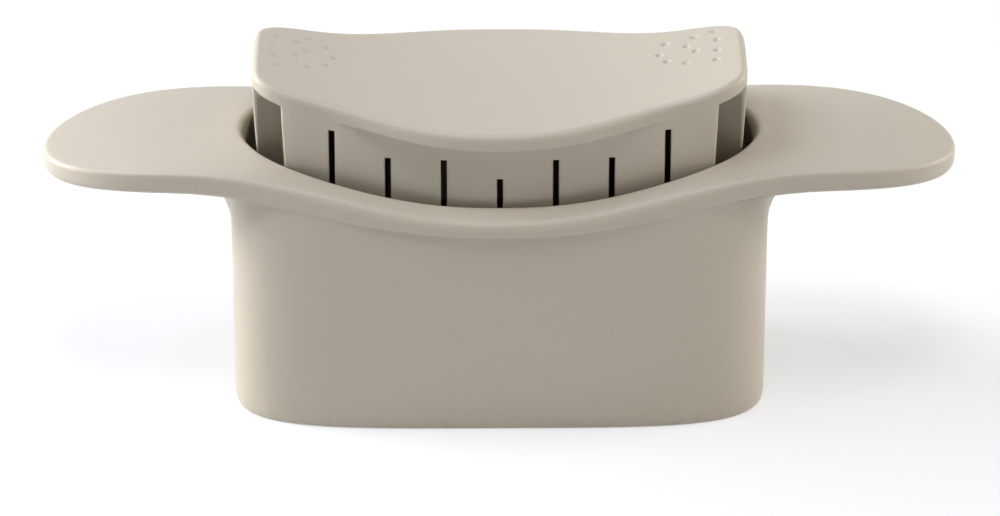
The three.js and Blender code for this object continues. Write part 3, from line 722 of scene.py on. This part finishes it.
def ceiling(path, skin, under, wall_ring):
    """The underside of the plate inside the skirt, from the inner wall to the middle."""
    wall = path.at_height(under, inside=True)
    rings = [wall_ring]
    for share in CEILING_SHARES:
        place = wall * share
        rings.append(skin.ring(place, plate_top(place[:, 0]) - PLATE_THICKNESS))
    skin.bands(rings)
    skin.cap(rings[-1], False)


def cover_skin():
    """The palm plate, its edge and underside, and the slotted skirt below it, as one skin."""
    path = SkirtPath()
    skin = Skin()
    under = plate_top(path.skirt[:, 0]) - PLATE_THICKNESS
    rings = [skin.ring(outline, height) for outline, height in plate_surface(path)]
    skin.cap(rings[0], True)
    edge_levels = plate_edge(path, path.at_height(under))
    rings += [skin.ring(outline, height) for outline, height in edge_levels]
    skin.bands(rings)

    tops = [slot_top(level) for level in (2, 1, 0)] + [LONG_SLOT_TOP]
    heights = [top + SLOT_EDGE_RADIUS * share for top in tops for share in SLOT_BORDER_SHARES[::-1]]
    heights += [*PLAIN_ROW_HEIGHTS, PUSHER_FOOT + SLOT_EDGE_RADIUS, PUSHER_FOOT]
    outer, inner = skirt_rows(path, skin, under, heights)
    skin.band(rings[-1], outer[0])
    skirt_faces(path, skin, heights, outer, inner)
    ceiling(path, skin, under, inner[0])
    return skin


def cover_bosses():
    """Four bosses under the plate for the ram's screws."""
    skin = Skin()
    for low, high in ram_screws:
        x, y = (low.x + high.x) / 2, (low.y + high.y) / 2
        top = plate_top(x) - PLATE_THICKNESS / 2
        skin.tube((x, y), BOSS_RADIUS, SCREW_BORE, BOSS_FOOT, high.z + BORE_REST, top)
    return skin


# Sockets of a colour mix: its factor, its two colours and its result
MIX_FACTOR, MIX_FIRST, MIX_SECOND, MIX_RESULT = 0, 6, 7, 2

# Where most values of a noise lie
NOISE_LOW, NOISE_HIGH = 0.3, 0.7

# Hairlines: the part of their width that is full, and the noise that breaks them up
HAIR_CORE_SHARE = 0.25
HAIR_BREAK_SCALE = 60
HAIR_BREAK_LOW, HAIR_BREAK_HIGH = 0.52, 0.66


# Shader maths: an expression on wires adds its own nodes
class Wire:
    """A value that varies over a surface: the output of a node."""

    def __init__(self, nodes, socket):
        self.nodes = nodes
        self.socket = socket

    def maths(self, operation, *values):
        return self.nodes.node("ShaderNodeMath", {"operation": operation}, dict(enumerate(values)))

    def __add__(self, other):
        return self.maths("ADD", self, other)

    def __radd__(self, other):
        return self.maths("ADD", other, self)

    def __sub__(self, other):
        return self.maths("SUBTRACT", self, other)

    def __rsub__(self, other):
        return self.maths("SUBTRACT", other, self)

    def __mul__(self, other):
        return self.maths("MULTIPLY", self, other)

    def __rmul__(self, other):
        return self.maths("MULTIPLY", other, self)

    def __abs__(self):
        return self.maths("ABSOLUTE", self)

    def highest(self, other):
        return self.maths("MAXIMUM", self, other)


class Nodes:
    """A node tree, and the one method that adds to it."""

    def __init__(self, tree):
        self.tree = tree

    def node(self, kind, settings=None, inputs=None, output=0):
        """A node of this type: its settings come first, then its sockets' values or links."""
        node = self.tree.nodes.new(kind)
        for name, value in (settings or {}).items():
            setattr(node, name, value)
        for name, value in (inputs or {}).items():
            self.feed(node.inputs[name], value)
        return Wire(self, node.outputs[output])

    def feed(self, socket, value):
        if isinstance(value, Wire):
            self.tree.links.new(value.socket, socket)
        else:
            socket.default_value = value

    def seen(self):
        """One where the camera looks straight, or through a reflection."""
        paths = [self.node("ShaderNodeLightPath", output=name)
                 for name in ("Is Camera Ray", "Is Glossy Ray", "Is Transmission Ray")]
        return paths[0].highest(paths[1]).highest(paths[2])


def shade(colour, amount):
    """A colour made lighter or darker by a share."""
    return tuple(channel * amount for channel in colour) + (1,)


class Finish(Nodes):
    """The material of one kind of surface, from its colour, grain, wear and polish."""

    def __init__(self, name, metallic=0.0):
        self.material = bpy.data.materials.new(name)
        self.material.use_nodes = True
        super().__init__(self.material.node_tree)
        self.shader = self.tree.nodes["Principled BSDF"]
        self.set("Metallic", metallic)
        self.place = self.node("ShaderNodeTexCoord", output="Object")

    def set(self, name, value):
        self.feed(self.shader.inputs[name], value)

    def along(self, axis):
        """How far along X, Y or Z each point of the piece is, in metres."""
        return self.node("ShaderNodeSeparateXYZ", inputs={"Vector": self.place}, output=axis)

    def noise(self, scale, detail=2.0, stretch=(1, 1, 1)):
        """Soft noise from nought to one, with about as many bumps to a metre as the scale says."""
        settings = {"operation": "MULTIPLY"}
        place = self.node("ShaderNodeVectorMath", settings, {0: self.place, 1: stretch})
        inputs = {"Vector": place, "Scale": scale, "Detail": detail}
        return self.node("ShaderNodeTexNoise", inputs=inputs)

    def ramp(self, value, low, high):
        """Nought below the low value, one above the high one, and smooth between them."""
        return self.node("ShaderNodeMapRange", {"interpolation_type": "SMOOTHSTEP"},
                         {"Value": value, "From Min": low, "From Max": high})

    def window(self, value, low, high, border):
        """One between the two values, nought beyond them, and smooth at both borders."""
        return self.ramp(value, low, low + border) * (1 - self.ramp(value, high - border, high))

    def blend(self, share, first, second):
        """A colour from the first to the second, as the share goes from nought to one."""
        inputs = {MIX_FACTOR: share, MIX_FIRST: first, MIX_SECOND: second}
        return self.node("ShaderNodeMix", {"data_type": "RGBA"}, inputs, MIX_RESULT)

    def mottle(self, noise, colour, darkest, lightest):
        """A colour that drifts with a noise between two shares of itself."""
        share = self.ramp(noise, NOISE_LOW, NOISE_HIGH)
        return self.blend(share, shade(colour, darkest), shade(colour, lightest))

    def hairlines(self, scale, stretch, width):
        """Thin, broken scratches along the levels of a stretched noise."""
        level = abs(self.noise(scale, 1.0, stretch) - 0.5)
        line = 1 - self.ramp(level, HAIR_CORE_SHARE * width, width)
        return line * self.ramp(self.noise(HAIR_BREAK_SCALE), HAIR_BREAK_LOW, HAIR_BREAK_HIGH)

    def relief(self, height, depth, strength):
        """Feeds a height from nought to one to the shader as relief, with its depth in metres."""
        inputs = {"Height": height, "Distance": depth, "Strength": strength}
        self.set("Normal", self.node("ShaderNodeBump", inputs=inputs))


SHELL_COLOUR = (0.463, 0.408, 0.324)
INNER_COLOUR = (0.38, 0.335, 0.27)
STAIN_COLOUR = (0.34, 0.28, 0.2)
BLADE_COLOUR = (0.61, 0.62, 0.63)
SCREW_COLOUR = (0.47, 0.48, 0.49)

# Painted shade: the colour is darkened where shade falls, in the recesses at the pusher's ends and
# below the mouth's edge at its ends
PAINTED_SHADE_SHARE = 0.52
RECESS_SHADE_X = (0.0512, 0.0578)
RECESS_SHADE_Y = (0.0100, 0.0112)
RECESS_SHADE_Z = (0.0790, 0.0810)
MOUTH_SHADE_X = (0.0585, 0.0638)
MOUTH_SHADE_Y = (0.0110, 0.0130)
MOUTH_SHADE_Z = (0.0656, 0.0669)
SHADE_BORDER = 0.0008


def painted_shade(finish):
    """One where shade is painted, in the pusher's end recesses and below the frame's mouth edge at
    its ends, and nought elsewhere.
    """
    out, aside, height = abs(finish.along("X")), abs(finish.along("Y")), finish.along("Z")
    recess = finish.window(out, *RECESS_SHADE_X, SHADE_BORDER)
    recess *= (1 - finish.ramp(aside, *RECESS_SHADE_Y)) * (1 - finish.ramp(height, *RECESS_SHADE_Z))
    mouth = finish.window(out, *MOUTH_SHADE_X, SHADE_BORDER)
    mouth *= (1 - finish.ramp(aside, *MOUTH_SHADE_Y)) * (1 - finish.ramp(height, *MOUTH_SHADE_Z))
    return recess + mouth


def shell_plastic():
    """Moulded plastic: a fine spark grain, cloudy colour, hairlines, a scuffed foot, and painted
    shade in the end recesses and the mouth's ends.
    """
    finish = Finish("shell_plastic")
    cloud = finish.noise(scale=14, detail=3)
    speck = finish.noise(scale=900)
    grain = finish.noise(scale=2400, detail=3)
    hair = finish.hairlines(scale=30, stretch=(1.0, 2.2, 1.6), width=0.012)
    foot = 1 - finish.ramp(finish.along("Z"), low=0.0006, high=0.0045)
    scuff = foot * finish.ramp(finish.noise(scale=420, detail=3), low=0.42, high=0.68)
    base = finish.mottle(cloud, SHELL_COLOUR, darkest=0.985, lightest=1.015)
    specks = finish.ramp(speck, NOISE_LOW, NOISE_HIGH)
    specked = finish.blend(specks * 0.5, base, shade(SHELL_COLOUR, 0.97))
    worn = finish.blend(hair * 0.12, specked, shade(SHELL_COLOUR, 1.12))
    scuffed = finish.blend(scuff * 0.5, worn, shade(SHELL_COLOUR, 0.8))
    # Painted shade: the base colour goes darker in the recesses and at the mouth's ends, standing in
    # for the shade that falls there
    finish.set("Base Color", finish.blend(painted_shade(finish), scuffed, shade(SHELL_COLOUR, PAINTED_SHADE_SHARE)))
    handled = finish.ramp(finish.noise(scale=22), low=0.35, high=0.7)
    finish.set("Roughness", 0.44 - 0.06 * handled + 0.05 * grain + 0.12 * scuff - 0.05 * hair)
    finish.relief(grain + 0.6 * speck - 0.15 * hair, depth=0.000035, strength=0.55)
    return finish.material


def inner_plastic():
    """The plainer plastic of the inner rings and the ram, stained a little by potato juice."""
    finish = Finish("inner_plastic")
    stain = finish.ramp(finish.noise(scale=70, detail=4), low=0.5, high=0.72)
    grain = finish.noise(scale=1800, detail=3)
    drawn = finish.noise(scale=260, stretch=(1, 1, 0.08))
    base = finish.mottle(drawn, INNER_COLOUR, darkest=0.95, lightest=1.04)
    finish.set("Base Color", finish.blend(stain * 0.45, base, shade(STAIN_COLOUR, 1)))
    finish.set("Roughness", 0.5 + 0.12 * grain - 0.08 * stain)
    finish.relief(grain + 0.5 * drawn, depth=0.00005, strength=0.6)
    return finish.material


def blade_steel():
    """Rolled strip, brushed along its length, with a bright ground edge and faint water marks."""
    finish = Finish("blade_steel", metallic=1.0)
    brushed = finish.noise(scale=1, detail=3, stretch=(60, 60, 5200))
    marks = finish.ramp(finish.noise(scale=150, detail=3), low=0.55, high=0.7)
    facing = finish.node("ShaderNodeNewGeometry", output="Normal")
    lean = finish.node("ShaderNodeSeparateXYZ", inputs={"Vector": facing}, output="Z")
    ground = (1 - finish.ramp(lean, low=-0.12, high=-0.04)) * finish.ramp(lean, low=-0.9, high=-0.7)
    base = finish.mottle(brushed, BLADE_COLOUR, darkest=0.86, lightest=1.04)
    marked = finish.blend(marks * 0.3, base, shade(BLADE_COLOUR, 0.7))
    finish.set("Base Color", finish.blend(ground * 0.8, marked, shade(BLADE_COLOUR, 1.3)))
    finish.set("Roughness", 0.34 - 0.08 * brushed + 0.12 * marks - 0.12 * ground)
    finish.relief(brushed, depth=0.00002, strength=0.5)
    return finish.material


def screw_steel():
    """Turned and plated screws: fine rings, a mottled plating and duller patches."""
    finish = Finish("screw_steel", metallic=1.0)
    rings = finish.noise(scale=1, stretch=(90, 90, 4200))
    plating = finish.noise(scale=900, detail=3)
    dull = finish.ramp(finish.noise(scale=240), low=0.5, high=0.75)
    base = finish.mottle(plating, SCREW_COLOUR, darkest=0.9, lightest=1.1)
    finish.set("Base Color", finish.blend(dull * 0.5, base, shade(SCREW_COLOUR, 0.72)))
    finish.set("Roughness", 0.3 + 0.12 * plating + 0.15 * dull)
    finish.relief(rings + plating, depth=0.00003, strength=0.5)
    return finish.material


# Camera, floor and light
CAMERA_DISTANCE = 1.33
CAMERA_ELEVATION = math.radians(28)
CAMERA_AZIMUTH = math.radians(-0.4)
CAMERA_LENS = 197.7
CAMERA_SENSOR = 36
CAMERA_SIGHT = (0.05, 50)
CAMERA_TARGET = Vector((0.00017, 0, 0.03094))
LIGHT_TARGET = Vector((0, 0, 0.04))
FLOOR_REACH = 4
FLOOR_COLOUR = (0.86, 0.86, 0.86, 1)
FLOOR_ROUGHNESS = 0.8
FLOOR_LIFT = 0.5
WHITE = (1, 1, 1, 1)
FILL_STRENGTH = 0.02

# Tints of the lamps, and each lamp's name, place, size, power in watts and tint
PLAIN = (1, 1, 1)
COOL = (0.9, 0.985, 1.18)
WARM = (1.04, 1.0, 0.94)
LAMPS = [
    ("left softbox", (-1.1, 0.28, 0.3), (0.5, 0.4), 16.5, PLAIN),
    ("right softbox", (1.1, 0.3, 0.3), (0.5, 0.4), 6.5, PLAIN),
    ("upper left", (-0.75, -0.1, 1.1), (0.6, 0.6), 7.0, COOL),
    ("back left", (-0.5, 0.7, 1.0), (0.8, 0.8), 2.8, COOL),
    ("overhead", (0, -0.35, 1.2), (0.4, 0.4), 5.2, PLAIN),
    ("front fill", (-0.2, -1.5, 0.5), (1.6, 0.8), 1.8, WARM),
    ("front right", (0.9, -0.3, 0.6), (0.6, 0.6), 2.6, WARM),
]


def aim(thing, place, target):
    thing.location = place
    thing.rotation_euler = (target - place).to_track_quat("-Z", "Y").to_euler()


def make_camera():
    data = bpy.data.cameras.new("camera")
    data.lens = CAMERA_LENS
    data.sensor_width = CAMERA_SENSOR
    data.clip_start, data.clip_end = CAMERA_SIGHT
    camera = bpy.data.objects.new("camera", data)
    bpy.context.scene.collection.objects.link(camera)
    level = math.cos(CAMERA_ELEVATION)
    back = Vector((
        math.sin(CAMERA_AZIMUTH) * level,
        -math.cos(CAMERA_AZIMUTH) * level,
        math.sin(CAMERA_ELEVATION),
    ))
    aim(camera, CAMERA_TARGET + back * CAMERA_DISTANCE, CAMERA_TARGET)
    bpy.context.scene.camera = camera


def soft_light(name, place, size, power, tint):
    data = bpy.data.lights.new(name, "AREA")
    data.shape = "RECTANGLE"
    data.size, data.size_y = size
    data.energy = power
    data.color = tint
    light = bpy.data.objects.new(name, data)
    bpy.context.scene.collection.objects.link(light)
    aim(light, Vector(place), LIGHT_TARGET)


def make_floor():
    """A plain white board. What the camera sees of it is part lit and part plain white."""
    mesh = bpy.data.meshes.new("floor")
    corners = [(x * FLOOR_REACH, y * FLOOR_REACH, 0) for x, y in ((-1, -1), (1, -1), (1, 1), (-1, 1))]
    mesh.from_pydata(corners, [], [(0, 1, 2, 3)])
    floor = bpy.data.objects.new("floor", mesh)
    bpy.context.scene.collection.objects.link(floor)
    board = Finish("white_board")
    board.set("Base Color", FLOOR_COLOUR)
    board.set("Roughness", FLOOR_ROUGHNESS)
    plain_white = board.node("ShaderNodeEmission", inputs={"Color": WHITE, "Strength": 1.0})
    lit = Wire(board, board.shader.outputs["BSDF"])
    share = board.seen() * FLOOR_LIFT
    both = board.node("ShaderNodeMixShader", inputs={0: share, 1: lit, 2: plain_white})
    board.feed(board.tree.nodes["Material Output"].inputs["Surface"], both)
    mesh.materials.append(board.material)


def make_studio():
    """White all round where it is seen or mirrored, and a weaker even fill as light."""
    world = bpy.data.worlds.new("studio")
    world.use_nodes = True
    bpy.context.scene.world = world
    studio = Nodes(world.node_tree)
    fill = studio.node("ShaderNodeBackground", inputs={"Color": WHITE, "Strength": FILL_STRENGTH})
    white = studio.node("ShaderNodeBackground", inputs={"Color": WHITE, "Strength": 1.0})
    both = studio.node("ShaderNodeMixShader", inputs={0: studio.seen(), 1: fill, 2: white})
    studio.feed(studio.tree.nodes["World Output"].inputs["Surface"], both)


def dress(piece, body, node, material):
    """The piece rides on its body in place of a CAD node, in this material."""
    piece.data.materials.append(material)
    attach(piece, body)
    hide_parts(node)


def refinish(names, material, edge_width):
    """CAD nodes that stay get soft edges and their material."""
    for name in names:
        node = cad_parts[name]
        node.data.materials.clear()
        node.data.materials.append(material)
        soft_edges(node, edge_width)


make_camera()

shell = shell_plastic()
dress(soften(frame_shell().piece("frame_shell"), levels=2), "frame", "cutter_frame", shell)
dress(soft_edges(frame_posts().piece("frame_posts"), POST_EDGE), "frame", "cutter_frame", shell)
dress(sharpen(cover_skin().piece("palm_cover")), "pusher", "pusher_cover", shell)
dress(soft_edges(cover_bosses().piece("cover_bosses"), POST_EDGE), "pusher", "pusher_cover", shell)

cross_blades = [f"cross_blade_{number}" for number in range(1, 8)]
long_blades = [f"long_blade_{number}" for number in range(1, 4)]
screws = [f"{holds}_screw_{number}" for holds in ("carrier", "ram") for number in range(1, 5)]
refinish(["blade_carrier", "blade_clamp", "pusher_ram"], inner_plastic(), RING_EDGE)
refinish(cross_blades + long_blades, blade_steel(), BLADE_EDGE)
refinish(screws, screw_steel(), SCREW_EDGE)

make_floor()
make_studio()
for lamp in LAMPS:
    soft_light(*lamp)

bpy.context.scene.view_settings.view_transform = "Standard"
